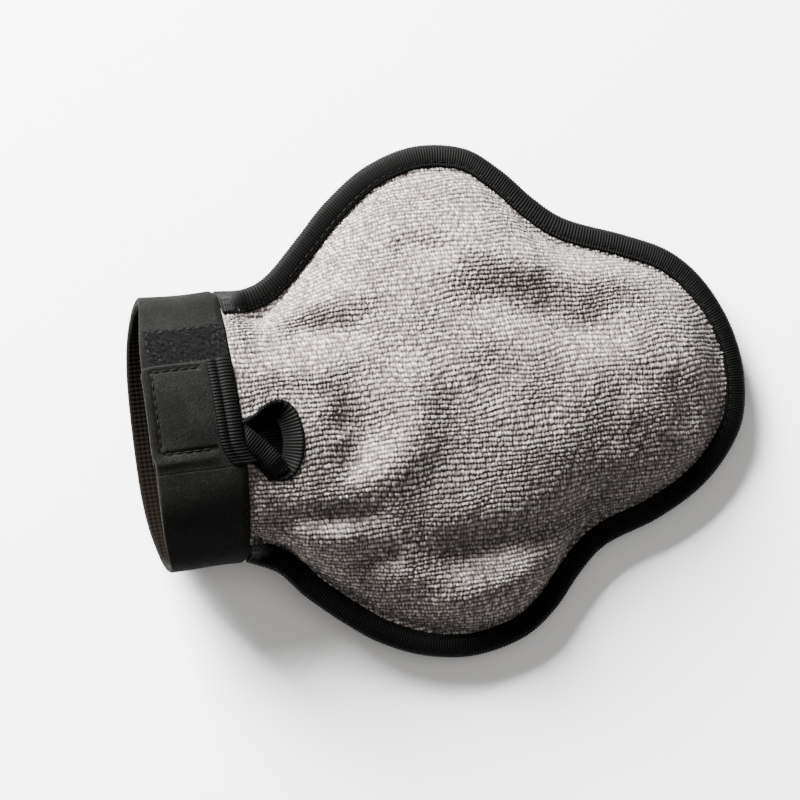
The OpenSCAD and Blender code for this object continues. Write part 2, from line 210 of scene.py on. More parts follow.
def near_cuff(x):
    """One at the cuff seam, and nothing from 13 mm on."""
    return 1 - smooth((x - SEAM_X - 1) / 12)


def cuff_height(y):
    """Height of the cuff's oval above its middle."""
    return HALF_HIGH * np.sqrt(np.clip(1 - (y / HALF_ACROSS) ** 2, 0, 1))


def front_ground(x, y):
    """Height of the front face's fabric at any place, folds and all."""
    d = np.clip(x - SEAM_X, 0, BODY_L)
    away, _ = nearest(x, y, EDGE_COARSE)
    free = smooth((away - 9) / 14)
    lift = 1.5 * (1 - smooth(d / 9)) * smooth((away - 8) / 10)
    press = 1.5 * (1 - smooth((away - 4) / 7))
    own = column(3, d) + pocket(1, d, y) + FACE_T - 0.5 + lift - press + free * (
        folds(FRONT_FOLDS, x, y) + 0.45 * ripple(x, y, 30) + 0.08 * ripple(x, y, 11))
    # at the cuff the fabric opens out to the band it is sewn into
    return own + near_cuff(x) * np.maximum(MIDDLE_Z + cuff_height(y) + 0.4 - own, 0)


def back_ground(x, y):
    d = np.clip(x - SEAM_X, 0, BODY_L)
    away, _ = nearest(x, y, EDGE_COARSE)
    press = 1.5 * (1 - smooth((away - 4) / 7))
    free = smooth((away - 9) / 14)
    own = column(3, d) - pocket(-1, d, y) - FACE_T + 0.5 + press + free * (
        folds(BACK_FOLDS, x, y) + 0.3 * ripple(x, y, 26))
    return own - near_cuff(x) * np.maximum(own - MIDDLE_Z + cuff_height(y) + 0.2, 0)


# The slit's edge: a rounded triangle with its point at the cuff seam, measured from the seam.
SLIT = free_curve([[0, -3.5], [6.5, -0.5], [13, 3.4], [17, 2.4], [19, -5], [17.8, -14], [13.5, -18.5],
                   [7, -13.2], [0, -6.5]], 240) + [SEAM_X, 0]


def in_slit(x, y):
    inside = np.zeros(x.shape, bool)
    ring = np.vstack([[SEAM_X - 2, -6], [SEAM_X - 2, -3.5], SLIT])
    for (x0, y0), (x1, y1) in zip(ring, np.roll(ring, -1, axis=0)):
        if y0 != y1:
            inside ^= ((y0 > y) != (y1 > y)) & (x < (x1 - x0) * (y - y0) / (y1 - y0) + x0)
    return inside


# ---------------------------------------------------------------------------
# Finishes
# ---------------------------------------------------------------------------
def linear(code):
    parts = [int(code[i:i + 2], 16) / 255 for i in (1, 3, 5)]
    return tuple(p / 12.92 if p <= 0.04045 else ((p + 0.055) / 1.055) ** 2.4 for p in parts) + (1.0,)


def new_finish(name, rough, sheen=0.0, sheen_rough=0.5, specular=0.5):
    finish = bpy.data.materials.new(name)
    finish.use_nodes = True
    shader = finish.node_tree.nodes["Principled BSDF"]
    shader.inputs["Roughness"].default_value = rough
    shader.inputs["Sheen Weight"].default_value = sheen
    shader.inputs["Sheen Roughness"].default_value = sheen_rough
    shader.inputs["Specular IOR Level"].default_value = specular
    return finish, finish.node_tree, shader


def add(tree, kind, links=None, **settings):
    """Adds a node. Links give an input's name or number a value or another node's output."""
    node = tree.nodes.new(kind)
    for key, value in settings.items():
        setattr(node, key, value)
    for key, value in (links or {}).items():
        if isinstance(value, bpy.types.NodeSocket):
            tree.links.new(value, node.inputs[key])
        else:
            node.inputs[key].default_value = value
    return node


def ramp(tree, factor, stops):
    """A colour ramp through the given places and hex colours."""
    node = add(tree, "ShaderNodeValToRGB", {"Fac": factor})
    while len(node.color_ramp.elements) < len(stops):
        node.color_ramp.elements.new(0.5)
    for element, (place, code) in zip(node.color_ramp.elements, stops):
        element.position = place
        element.color = linear(code)
    return node.outputs["Color"]


def bumped(tree, shader, height, distance, strength=1.0):
    node = add(tree, "ShaderNodeBump", {"Height": height, "Strength": strength, "Distance": distance})
    tree.links.new(node.outputs["Normal"], shader.inputs["Normal"])


def looped_microfibre():
    """Split polyester and polyamide loops: matte, paler at the loop's top than down between the rows, where the darker
    colour is painted shade.
    """
    finish, tree, shader = new_finish("looped_microfibre_terry", 0.95, 0.05, 0.6, 0.08)
    pile = add(tree, "ShaderNodeAttribute", attribute_name="pile")
    tone = add(tree, "ShaderNodeAttribute", attribute_name="tone")
    place = add(tree, "ShaderNodeTexCoord").outputs["Object"]
    # patches of pile brushed one way or the other, about 25 mm across
    patch = add(tree, "ShaderNodeTexNoise", {"Vector": place, "Scale": 40.0, "Detail": 3.0})
    # where the loops are low, down between the rows and between loops, the colour darkens: painted shade
    level = add(tree, "ShaderNodeMath", {0: pile.outputs["Fac"], 1: tone.outputs["Fac"]}, operation="ADD")
    level = add(tree, "ShaderNodeMath", {0: patch.outputs["Fac"], 1: 0.16, 2: level.outputs[0]},
                operation="MULTIPLY_ADD")
    # tufts of fibre about 0.5 mm wide catch the light on each loop
    tuft = add(tree, "ShaderNodeTexNoise", {"Vector": place, "Scale": 1900.0, "Detail": 2.0})
    tuft = add(tree, "ShaderNodeMath", {0: tuft.outputs["Fac"], 1: 0.5}, operation="SUBTRACT")
    level = add(tree, "ShaderNodeMath", {0: tuft.outputs[0], 1: 0.7, 2: level.outputs[0]}, operation="MULTIPLY_ADD")
    # the ramp's darkest stops are tinted warm as a painted shadow tint; its palest stops are the loop tops
    colour = ramp(tree, level.outputs[0], [(0.1, "#2a2120"), (0.42, "#474240"), (0.74, "#6a6561"), (1.0, "#96928e")])
    tree.links.new(colour, shader.inputs["Base Color"])
    # single fibres are far finer than 0.1 mm: drawn at 0.3 mm so that they show
    fibre = add(tree, "ShaderNodeTexNoise", {"Vector": place, "Scale": 2600.0, "Detail": 2.0})
    bumped(tree, shader, fibre.outputs["Fac"], 0.0003, 0.7)
    return finish


def ribbed_grosgrain():
    """Woven polyester tape: its ribs are in the mesh, with a painted highlight on their tops and painted shade between
    them, and the filament yarn gives a low sheen.
    """
    finish, tree, shader = new_finish("black_grosgrain_tape", 0.6, 0.0, 0.4, 0.03)
    rib = add(tree, "ShaderNodeAttribute", attribute_name="rib")
    place = add(tree, "ShaderNodeTexCoord").outputs["Object"]
    wear = add(tree, "ShaderNodeTexNoise", {"Vector": place, "Scale": 90.0, "Detail": 3.0})
    level = add(tree, "ShaderNodeMath", {0: wear.outputs["Fac"], 1: 0.35, 2: rib.outputs["Fac"]},
                operation="MULTIPLY_ADD")
    # the rib value lightens the rib tops and darkens the valleys and the tucked-in legs: painted highlight and painted
    # shade; the noise adds uneven tone
    colour = ramp(tree, level.outputs[0], [(0.25, "#010101"), (0.75, "#030303"), (1.0, "#0b0b0a")])
    tree.links.new(colour, shader.inputs["Base Color"])
    yarn = add(tree, "ShaderNodeTexNoise", {"Vector": place, "Scale": 3000.0, "Detail": 2.0})
    bumped(tree, shader, yarn.outputs["Fac"], 0.0001, 0.5)
    return finish


def jersey_foam():
    """Neoprene foam faced with nylon jersey: soft, even and matte with a fine knitted grain."""
    finish, tree, shader = new_finish("black_jersey_neoprene", 0.85, 0.0, 0.5, 0.04)
    place = add(tree, "ShaderNodeTexCoord").outputs["Object"]
    grain = add(tree, "ShaderNodeTexNoise", {"Vector": place, "Scale": 1400.0, "Detail": 3.0, "Roughness": 0.75})
    shade = add(tree, "ShaderNodeTexNoise", {"Vector": place, "Scale": 60.0, "Detail": 2.0})
    level = add(tree, "ShaderNodeMath", {0: shade.outputs["Fac"], 1: 0.5, 2: grain.outputs["Fac"]},
                operation="MULTIPLY_ADD")
    colour = ramp(tree, level.outputs[0], [(0.5, "#040404"), (0.75, "#090908"), (1.0, "#171716")])
    tree.links.new(colour, shader.inputs["Base Color"])
    # the jersey's stitches are 0.4 mm apart, drawn at 0.6 mm
    bumped(tree, shader, grain.outputs["Fac"], 0.0004, 0.8)
    return finish


def dotted_knit():
    """Warp-knitted nylon bonded inside the foam, with a grid of small dimples 1.8 mm apart."""
    finish, tree, shader = new_finish("brown_black_dotted_knit", 0.9, 0.0, 0.5, 0.03)
    place = add(tree, "ShaderNodeUVMap").outputs["UV"]
    dots = add(tree, "ShaderNodeTexVoronoi", {"Vector": place, "Scale": 100 / 1.8, "Randomness": 0.0},
               voronoi_dimensions="2D")
    # the knit's own brown-black, darkened further: painted shade, as if a wrist filled the cuff
    colour = ramp(tree, dots.outputs["Distance"], [(0.1, "#010100"), (0.35, "#050302"), (0.6, "#0b0805")])
    tree.links.new(colour, shader.inputs["Base Color"])
    bumped(tree, shader, dots.outputs["Distance"], 0.0006, 1.0)
    return finish


def brushed_loops():
    """Knitted nylon loop tape with its loops brushed up into a springy nap."""
    finish, tree, shader = new_finish("black_brushed_loop_tape", 0.9, 0.0, 0.4, 0.05)
    place = add(tree, "ShaderNodeTexCoord").outputs["Object"]
    nap = add(tree, "ShaderNodeTexNoise", {"Vector": place, "Scale": 1700.0, "Detail": 4.0, "Roughness": 0.8,
                                           "Distortion": 1.5})
    # the nap's brightest flecks are painted glints on the loop tips
    colour = ramp(tree, nap.outputs["Fac"], [(0.4, "#010101"), (0.54, "#060606"), (0.66, "#2e2c2c")])
    tree.links.new(colour, shader.inputs["Base Color"])
    bumped(tree, shader, nap.outputs["Fac"], 0.0008, 1.0)
    return finish


def moulded_hooks():
    """Nylon hook tape: a smooth moulded web with stems, a little glossy."""
    finish, tree, shader = new_finish("black_moulded_nylon_hooks", 0.5, 0.0, 0.5, 0.1)
    place = add(tree, "ShaderNodeTexCoord").outputs["Object"]
    flow = add(tree, "ShaderNodeTexNoise", {"Vector": place, "Scale": 700.0, "Detail": 2.0})
    colour = ramp(tree, flow.outputs["Fac"], [(0.3, "#040404"), (0.7, "#0a0a0a")])
    tree.links.new(colour, shader.inputs["Base Color"])
    bumped(tree, shader, flow.outputs["Fac"], 0.0001, 0.4)
    return finish


def polyester_knit():
    """Thin black warp knit of the hand pocket, with wales 1.2 mm apart."""
    finish, tree, shader = new_finish("black_polyester_knit", 0.85, 0.0, 0.5, 0.05)
    place = add(tree, "ShaderNodeTexCoord").outputs["Object"]
    wale = add(tree, "ShaderNodeTexWave", {"Vector": place, "Scale": 260.0, "Distortion": 1.0}, bands_direction="Y")
    colour = ramp(tree, wale.outputs["Fac"], [(0.1, "#100f0e"), (0.9, "#22201e")])
    tree.links.new(colour, shader.inputs["Base Color"])
    bumped(tree, shader, wale.outputs["Fac"], 0.0003, 0.6)
    return finish


def sewing_thread():
    """Bonded polyester thread: three plies with a slight gloss, its twist drawn 0.5 mm long."""
    finish, tree, shader = new_finish("black_bonded_thread", 0.5, 0.0, 0.4, 0.08)
    place = add(tree, "ShaderNodeTexCoord").outputs["Object"]
    twist = add(tree, "ShaderNodeTexWave", {"Vector": place, "Scale": 640.0, "Distortion": 2.0},
                bands_direction="DIAGONAL")
    colour = ramp(tree, twist.outputs["Fac"], [(0.2, "#040404"), (0.8, "#0d0d0c")])
    tree.links.new(colour, shader.inputs["Base Color"])
    bumped(tree, shader, twist.outputs["Fac"], 0.0001, 0.6)
    return finish


TERRY = looped_microfibre()
TAPE = ribbed_grosgrain()
FOAM = jersey_foam()
KNIT = dotted_knit()
LOOPS = brushed_loops()
HOOKS = moulded_hooks()
LINING = polyester_knit()
THREAD = sewing_thread()


# ---------------------------------------------------------------------------
# Making meshes
# ---------------------------------------------------------------------------
def new_piece(name, points, faces, finish, attributes=None, uv=None):
    """A mesh object from points in millimetres, smooth, with its place in its mesh."""
    mesh = bpy.data.meshes.new(name)
    mesh.from_pydata((np.asarray(points) * 0.001).tolist(), [], [tuple(f) for f in np.asarray(faces).tolist()]
                     if not isinstance(faces, list) else faces)
    mesh.materials.append(finish)
    for key, values in (attributes or {}).items():
        mesh.attributes.new(key, "FLOAT", "POINT").data.foreach_set("value", np.asarray(values, np.float32).ravel())
    if uv is not None:
        corner = np.empty(len(mesh.loops), np.int32)
        mesh.loops.foreach_get("vertex_index", corner)
        layer = mesh.uv_layers.new(name="UVMap")
        layer.data.foreach_set("uv", np.asarray(uv, np.float32)[corner].ravel())
    mesh.polygons.foreach_set("use_smooth", np.ones(len(mesh.polygons), bool))
    mesh.update()
    piece = bpy.data.objects.new(name, mesh)
    bpy.context.scene.collection.objects.link(piece)
    return piece


def grid_faces(rows, cols, closed=False, flip=False):
    """Quads between neighbouring points of a grid; closed joins the last column to the first."""
    i, j = np.meshgrid(np.arange(rows - 1), np.arange(cols if closed else cols - 1), indexing="ij")
    a, b = i * cols + j, i * cols + (j + 1) % cols
    quads = np.stack([a, b, b + cols, a + cols], axis=-1).reshape(-1, 4)
    return quads[:, ::-1] if flip else quads


def compact(points, faces, *values):
    """Drops the points that no face uses."""
    used = np.unique(faces)
    place = np.full(len(points), -1)
    place[used] = np.arange(len(used))
    return [points[used], place[faces]] + [v[used] for v in values]


def flat_ends(piece):
    """Keeps the two end caps, which were made last, crisp."""
    for cap in piece.data.polygons[-2:]:
        cap.use_smooth = False
    return piece


def sweep(name, centre, inward, up, section, finish, along, pitch, depth, wobble=None, ground=None, flip=False):
    """A ribbed tape: the section (distance inward, height, rib share) carried along a run of places."""
    section = np.array(section, float)
    step = np.gradient(section[:, :2], axis=0)
    out = np.column_stack([-step[:, 1], step[:, 0]])
    out /= np.maximum(np.linalg.norm(out, axis=1), 1e-6)[:, None]
    rib = np.abs(np.cos(np.pi * along / pitch)) ** 0.8
    raised = depth * (rib[:, None] - 0.5) * section[None, :, 2]
    a = section[None, :, 0] + raised * out[None, :, 0]
    b = section[None, :, 1] + raised * out[None, :, 1]
    if wobble is not None:
        b = b + wobble[:, None]
    points = centre[:, None, :] + inward[:, None, :] * a[..., None] + up[:, None, :] * b[..., None]
    if ground is not None:
        points = ground(points, section)
    rows, cols = points.shape[:2]
    faces = grid_faces(rows, cols, closed=True, flip=flip)
    ends = [list(range(cols)), list(range((rows - 1) * cols, rows * cols))]
    quads = [tuple(f) for f in faces.tolist()]
    quads += [tuple(ends[0] if flip else ends[0][::-1]), tuple(ends[1][::-1] if flip else ends[1])]
    # rib tops on the visible face get high values, which the tape's colour uses for its painted highlight and painted
    # shade
    shade = rib[:, None] * section[None, :, 2] * np.ones_like(a)
    return flat_ends(new_piece(name, points.reshape(-1, 3), quads, finish, {"rib": shade.ravel()}))


def stitch_shape():
    """One stitch, 1 mm long along X and lying on the plane Z = 0, made by hand."""
    bpy.ops.object.select_all(action="DESELECT")
    bpy.ops.mesh.primitive_cylinder_add(vertices=8, radius=0.5, depth=1.0, rotation=(0, math.pi / 2, 0))
    bpy.ops.object.transform_apply(location=False, rotation=True, scale=True)
    bpy.ops.object.mode_set(mode="EDIT")
    bpy.ops.mesh.select_all(action="SELECT")
    bpy.ops.mesh.bevel(offset=0.22, segments=2, affect="EDGES")
    bpy.ops.object.mode_set(mode="OBJECT")
    piece = bpy.context.object
    mesh = piece.data
    points = np.array([v.co for v in mesh.vertices])
    points[:, 2] = points[:, 2] * 0.9 - 0.35 * (2 * np.abs(points[:, 0])) ** 2
    faces = [tuple(p.vertices) for p in mesh.polygons]
    bpy.data.objects.remove(piece)
    bpy.data.meshes.remove(mesh)
    return points, faces


STITCH, STITCH_FACES = stitch_shape()


THREAD_WIDTH = 0.55


def stitch_row(name, path, normal, length=2.4, gap=1.1):
    """Separate stitches laid along a run of places, half sunk in the fabric."""
    _, total = resample(path, 0.5)
    n = max(1, int(total[-1] / (length + gap)))
    s = np.concatenate([[0], np.cumsum(np.linalg.norm(np.diff(path, axis=0), axis=1))])
    pitch = total[-1] / n
    points, faces = [], []
    for k in range(n):
        ends = [np.array([np.interp(v, s, path[:, c]) for c in range(3)])
                for v in (k * pitch + gap / 2, (k + 1) * pitch - gap / 2)]
        up = np.array([np.interp((k + 0.5) * pitch, s, normal[:, c]) for c in range(3)])
        ahead = ends[1] - ends[0]
        size = np.linalg.norm(ahead)
        ahead /= size
        across = np.cross(up, ahead)
        across /= np.linalg.norm(across)
        up = np.cross(ahead, across)
        middle = (ends[0] + ends[1]) / 2
        start = len(points) * len(STITCH)
        points.append(middle + STITCH[:, :1] * ahead * size + STITCH[:, 1:2] * across * THREAD_WIDTH
                      + STITCH[:, 2:] * up * THREAD_WIDTH)
        faces += [tuple(start + v for v in f) for f in STITCH_FACES]
    return new_piece(name, np.vstack(points), faces, THREAD)


# ---------------------------------------------------------------------------
# Pile faces
# ---------------------------------------------------------------------------
def pile_height(a, s):
    """Loops knitted in rows along the mitt: 1.9 mm between rows, 1.2 mm between loops of a row."""
    s = s + 0.8 * ripple(a, s, 30) + 0.12 * ripple(a, s, 5)
    cell_a, cell_s = a / 1.2, s / 1.9
    best, tone = np.zeros_like(a), np.zeros_like(a)
    lot = CHANCE.random((5, 512, 512))
    for r in (-1, 0, 1):
        row = np.floor(cell_s).astype(int) + r
        shifted = cell_a + 4 * lot[4, row % 512, 0]
        for c in (-1, 0, 1):
            cell = np.floor(shifted).astype(int) + c
            pick = lot[:, row % 512, cell % 512]
            v = (cell_s - row - 0.5 - 0.2 * (pick[1] - 0.5)) / 0.55
            u = (shifted - cell - 0.5 - 0.45 * (pick[0] - 0.5) + 0.3 * v * (pick[2] - 0.3)) / (0.58 + 0.12 * pick[3])
            h = (0.55 + 0.45 * pick[2]) * np.clip(1 - u * u - v * v, 0, 1) ** 0.72
            taller = h > best
            best = np.where(taller, h, best)
            tone = np.where(taller, pick[3] - 0.5, tone)
    # tufts of split fibre stand out of each loop
    return best * (0.84 + 0.32 * CHANCE.random(a.shape)), tone


def pile_face(name, side, step, loop, finish):
    """A face of loops over the whole outline, from the cuff seam to just under the edge tape."""
    ground = front_ground if side > 0 else back_ground
    d = np.linspace(0, BODY_L - 1, 1500)
    z = column(3, d) + side * pocket(side, d, np.full_like(d, -1.0))
    run = np.concatenate([[0], np.cumsum(np.hypot(np.diff(d), np.diff(z)))])
    a = np.arange(0, run[-1], step)
    d_rows = np.interp(a, run, d)
    s = np.arange(-135, 135, step)
    y, inside = np.zeros((len(a), len(s))), np.zeros((len(a), len(s)), bool)
    for i, di in enumerate(d_rows):
        across = np.linspace(column(1, di) + 1, column(2, di) - 1, 500)
        high = pocket(side, np.full_like(across, di), across)
        length = np.concatenate([[0], np.cumsum(np.hypot(np.diff(across), np.diff(high)))])
        length -= np.interp(-1.0, across, length)
        y[i] = np.interp(s, length, across)
        inside[i] = (s > length[0]) & (s < length[-1])
    x = SEAM_X + d_rows[:, None] + np.zeros_like(y)
    away, _ = nearest(x, y, EDGE_COARSE)
    # the loops stop under the tape, which opens out over them near the cuff
    inside &= away > 5.2 + 2 * (d_rows < 16)[:, None]
    if side > 0:
        lip, _ = nearest(x, y, SLIT)
        inside &= ~in_slit(x, y) & (lip > 3.75)
    points = np.stack([x, y, ground(x, y)], axis=-1)
    du = np.gradient(points, axis=0)
    dv = np.gradient(points, axis=1)
    # a few columns past the outline fold back on themselves, so their normals are guarded
    normal = side * np.cross(du, dv)
    normal /= np.maximum(np.linalg.norm(normal, axis=-1), 1e-9)[..., None]
    height, tone = pile_height(a[:, None] + 0 * y, s[None, :] + 0 * y)
    points = points + normal * (loop * height)[..., None]
    points[:1, :, 2] -= side * 1.8
    if side < 0:
        points[..., 2] = np.maximum(points[..., 2], 0.05)
    faces = grid_faces(len(a), len(s), flip=side < 0)
    faces = faces[inside.ravel()[faces].all(axis=1)]
    points, faces, height, tone = compact(points.reshape(-1, 3), faces, height.ravel(), tone.ravel())
    piece = new_piece(name, points, faces, finish, {"pile": height, "tone": 0.22 * tone})
    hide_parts(name.replace("_pile", "_terry"))
    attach(piece, "mitt")
    return piece


pile_face("front_pile", 1, 0.34, 0.8, TERRY)
pile_face("back_pile", -1, 0.5, 0.8, TERRY)


def lining_face(name, side):
    """The thin knit inside a face."""
    rows = np.linspace(0.3, 196, 80)
    share = np.sin(np.linspace(-np.pi / 2, np.pi / 2, 61))
    low, high = column(1, rows) + 7, column(2, rows) - 7
    y = (low + high)[:, None] / 2 + (high - low)[:, None] / 2 * share[None, :]
    d = rows[:, None] + 0 * y
    z = column(3, d) + side * (pocket(side, d, y) + 0.15) + 0.25 * ripple(d, y, 22) * smooth(d / 10)
    x = SEAM_X + d
    if side > 0:
        away, _ = nearest(x, y, EDGE_COARSE)
        z = z + smooth((away - 9) / 14) * (folds(FRONT_FOLDS, x, y) - 0.6)
    else:
        z = z + 0.9
    faces = grid_faces(len(rows), share.size, flip=side < 0)
    if side > 0:
        keep = ~in_slit(x, y).ravel()
        faces = faces[keep[faces].all(axis=1)]
    points, faces = compact(np.stack([x, y, z], axis=-1).reshape(-1, 3), faces)
    piece = new_piece(name, points, faces, LINING)
    bpy.ops.object.select_all(action="DESELECT")
    bpy.context.view_layer.objects.active = piece
    piece.select_set(True)
    thicken = piece.modifiers.new("cloth", "SOLIDIFY")
    thicken.thickness = 0.0005
    thicken.offset = 0
    bpy.ops.object.modifier_apply(modifier=thicken.name)
    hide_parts(name.replace("_knit", "_lining"))
    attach(piece, "mitt")


lining_face("front_knit", 1)
lining_face("back_knit", -1)


# ---------------------------------------------------------------------------
# Edge tape
# ---------------------------------------------------------------------------
def normals_of(path, reach=9):
    ahead = np.vstack([path[reach:], np.repeat(path[-1:], reach, axis=0)])
    behind = np.vstack([np.repeat(path[:1], reach, axis=0), path[:-reach]])
    step = ahead - behind
    step /= np.linalg.norm(step, axis=1)[:, None]
    return step


def trim(piece, body, slot, *nodes):
    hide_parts(*nodes)
    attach(piece, body)
    return piece


TAPE_TOP = [(TAPE_LEG - 0.6, 3.0, 0), (TAPE_LEG, 3.7, 0.3), (TAPE_LEG - 0.4, 4.15, 0.8), (8.1, 4.25, 1), (7.4, 4.0, 1),
            (6.6, 4.25, 1), (5.2, 4.2, 1), (3.8, 4.0, 1), (2.2, 3.6, 1), (1.0, 2.9, 1), (0.25, 1.8, 1), (0, 0.6, 1)]
TAPE_SECTION = (TAPE_TOP + [(s, -h, r) for s, h, r in TAPE_TOP[::-1]]
                + [(TAPE_LEG - 2.4, -2.6, 0), (TAPE_LEG - 2.4, 2.6, 0)])
RIB = 1.15
EDGE, EDGE_S = resample(outline(), 0.2)
EDGE_AHEAD = normals_of(EDGE, 12)
EDGE_IN = np.column_stack([EDGE_AHEAD[:, 1], -EDGE_AHEAD[:, 0]])


def opened(x, y):
    """How far the tape's two legs part where the fabric opens out to the cuff."""
    return near_cuff(x) * np.maximum(cuff_height(y) - 1.4, 0)


def edge_lift(points, section):
    """Sets the tape on the seam's rising line, its legs parting at the cuff."""
    side = np.sign(section[:, 1]) * smooth(np.abs(section[:, 1]) / 2)
    points[..., 2] += (column(3, np.clip(points[..., 0] - SEAM_X, 0, BODY_L))
                       + side * opened(points[..., 0], points[..., 1]))
    return points


def edge_tape():
    n = len(EDGE)
    give = 0.25 * np.sin(EDGE_S / 9.0) * np.sin(EDGE_S / 23.0 + 1) + 0.12 * np.sin(EDGE_S / 3.1)
    centre = np.column_stack([EDGE + EDGE_IN * (0.25 + 0.25 * np.sin(EDGE_S / 13.0))[:, None], np.zeros(n)])
    piece = sweep("edge_tape", centre, np.column_stack([EDGE_IN, np.zeros(n)]), np.tile([0.0, 0, 1], (n, 1)),
                  TAPE_SECTION, TAPE, EDGE_S, RIB, 0.34, wobble=0.35 * give, ground=edge_lift)
    trim(piece, "mitt", "binding", "edge_binding")
    for side, node in ((1, "front_edge_thread"), (-1, "back_edge_thread")):
        at = EDGE + EDGE_IN * 7.4
        high = 4.1 + opened(at[:, 0], at[:, 1])
        path = np.column_stack([at, column(3, np.clip(at[:, 0] - SEAM_X, 0, BODY_L)) + side * high])[10:-10:4]
        row = stitch_row(node.replace("thread", "stitches"), path, np.tile([0.0, 0, side], (len(path), 1)))
        trim(row, "mitt", "thread", node)


edge_tape()


# ---------------------------------------------------------------------------
# Cuff, tab and what is on them
# ---------------------------------------------------------------------------
HINGE_Y, TAB_REACH = -8.0, 24.5
HINGE = math.degrees(math.asin(HINGE_Y / HALF_ACROSS))
TAB_END = math.degrees(math.asin(TAB_REACH / HALF_ACROSS))
LIFT = 3.0 + 0.8 + 2.2 + 0.3


def tube(phi, out):
    """A place on the cuff's oval: an angle from the top in degrees, a distance out of its middle skin."""
    p = np.radians(phi)
    ny, nz = HALF_HIGH * np.sin(p), HALF_ACROSS * np.cos(p)
    size = np.hypot(ny, nz)
    return HALF_ACROSS * np.sin(p) + out * ny / size, MIDDLE_Z + HALF_HIGH * np.cos(p) + out * nz / size


def lap(phi):
    """The lower lap leaves the oval inwards and the upper lap leaves it outwards."""
    return np.where(phi < 180, -LIFT / 2 * (1 - smooth((phi - TAB_END - 3) / 50)), LIFT / 2 * smooth((phi - 300) / 40))


def arc_angles(start, end, step):
    """Angles that step evenly along the oval."""
    fine = np.linspace(start, end, 800)
    y, z = tube(fine, 0)
    s = np.concatenate([[0], np.cumsum(np.hypot(np.diff(y), np.diff(z)))])
    at = np.linspace(0, s[-1], max(3, int(s[-1] / step)))
    return np.interp(at, s, fine), at


def strap(name, start, end, low, high, x0, x1, finish, step=0.7, relief=None, round_end=(False, False)):
    """A strip of foam or cloth round the oval with rounded long sides; relief shapes its outer face."""
    phi, s = arc_angles(start, end, step)
    r = min(0.8, (high - low) * 0.45)
    left = x0(phi) if callable(x0) else np.full_like(phi, x0)
    right = x1(phi) if callable(x1) else np.full_like(phi, x1)
    n = max(6, int(np.max(right - left) / step))
    share = np.linspace(0, 1, n)
    xs, outs = [], []
    for t in share:
        xs.append(left + r + (right - left - 2 * r) * t)
        outs.append(np.full_like(phi, high))
    for turn in (60, 30, 0):
        xs.append(right - r + r * math.cos(math.radians(turn)))
        outs.append(np.full_like(phi, high - r + r * math.sin(math.radians(turn))))
    for turn in (0, -30, -60):
        xs.append(right - r + r * math.cos(math.radians(turn)))
        outs.append(np.full_like(phi, low + r + r * math.sin(math.radians(turn))))
    for t in share[::-1]:
        xs.append(left + r + (right - left - 2 * r) * t)
        outs.append(np.full_like(phi, low))
    for turn in (240, 210, 180):
        xs.append(left + r + r * math.cos(math.radians(turn)))
        outs.append(np.full_like(phi, low + r + r * math.sin(math.radians(turn))))
    for turn in (180, 150, 120):
        xs.append(left + r + r * math.cos(math.radians(turn)))
        outs.append(np.full_like(phi, high - r + r * math.sin(math.radians(turn))))
    x, out = np.array(xs).T, np.array(outs).T
    middle = (low + high) / 2
    for end_on, k in ((round_end[0], 0), (round_end[1], -1)):
        if end_on:
            for depth, squeeze in ((0, 0.45), (1, 0.8), (2, 0.95)):
                i = k + depth if k == 0 else k - depth
                out[i] = middle + (out[i] - middle) * squeeze
    if relief is not None:
        out = out + relief(x, phi[:, None] + 0 * x, s[:, None] + 0 * x, out)
    y, z = tube(phi[:, None], lap(phi)[:, None] + out)
    points = np.stack([x, y, z], axis=-1)
    rows, cols = x.shape
    quads = [tuple(f) for f in grid_faces(rows, cols, closed=True, flip=True).tolist()]
    for row, back in ((0, False), (rows - 1, True)):
        ring = [row * cols + k for k in range(cols)]
        quads.append(tuple(ring[::-1] if back else ring))
    uv = np.stack([s[:, None] / 100 + 0 * x, x / 100], axis=-1).reshape(-1, 2)
    return flat_ends(new_piece(name, points.reshape(-1, 3), quads, finish, uv=uv))


def mouth(phi):
    """The band is cut narrower at the sides of the wrist than over its back."""
    return MOUTH_X + 4.5 * np.sin(np.radians(phi)) ** 4


def band_shape(x, phi):
    """The band flares a little at its mouth, except where it lies on the floor, and is not quite even."""
    off_floor = smooth((np.cos(np.radians(phi)) + 0.8) / 0.5)
    return off_floor * (0.9 * np.clip(1 - (x - MOUTH_X) / 30, 0, 1) ** 2 + 0.3 * ripple(x, np.mod(phi, 360) * 0.8, 34))


def ring_relief(x, phi, s, out):
    sunk = -1.0 * smooth((x - SEAM_X + 2.6) / 2.4)
    return band_shape(x, phi) + np.where(out > 0, sunk, 0)


SPLIT = HINGE - 7
ring = strap("cuff_ring", HINGE - 4, 360 + SPLIT, -1.5, 1.5, mouth, SEAM_X + 0.2, FOAM, relief=ring_relief,
             round_end=(True, False))
trim(ring, "mitt", "foam", "cuff_band")


def tab_left(phi):
    """The tab stands a little past the cuff, and its free corner is rounded."""
    phi = phi - 360
    arc = (TAB_END - phi) * 0.86
    corner = 3.2 - np.sqrt(np.clip(3.2 ** 2 - np.clip(3.2 - arc, 0, 3.2) ** 2, 0, None))
    return MOUTH_X - smooth((phi - HINGE + 3) / 5) + corner


def tab_side(phi):
    return SEAM_X - 0.7 - 1.2 * (phi - 360 - HINGE) / (TAB_END - HINGE)


def tab_right(phi):
    return np.where(phi < 360 + HINGE - 0.5, SEAM_X + 0.2, tab_side(phi))


def on_box(x, y):
    """Distance from the stitched box on the tab: down its cuff side and along its foot."""
    side_x = MOUTH_X + 2.6
    side = np.where((y > HINGE_Y + 1) & (y < TAB_REACH - 2), np.abs(x - side_x), 99)
    foot = np.where((x > side_x) & (x < SEAM_X - 10), np.abs(y - HINGE_Y - 1), 99)
    head = np.where((x > side_x) & (x < SEAM_X - 13), np.abs(y - TAB_REACH + 2.2), 99)
    return np.minimum(np.minimum(side, foot), head)


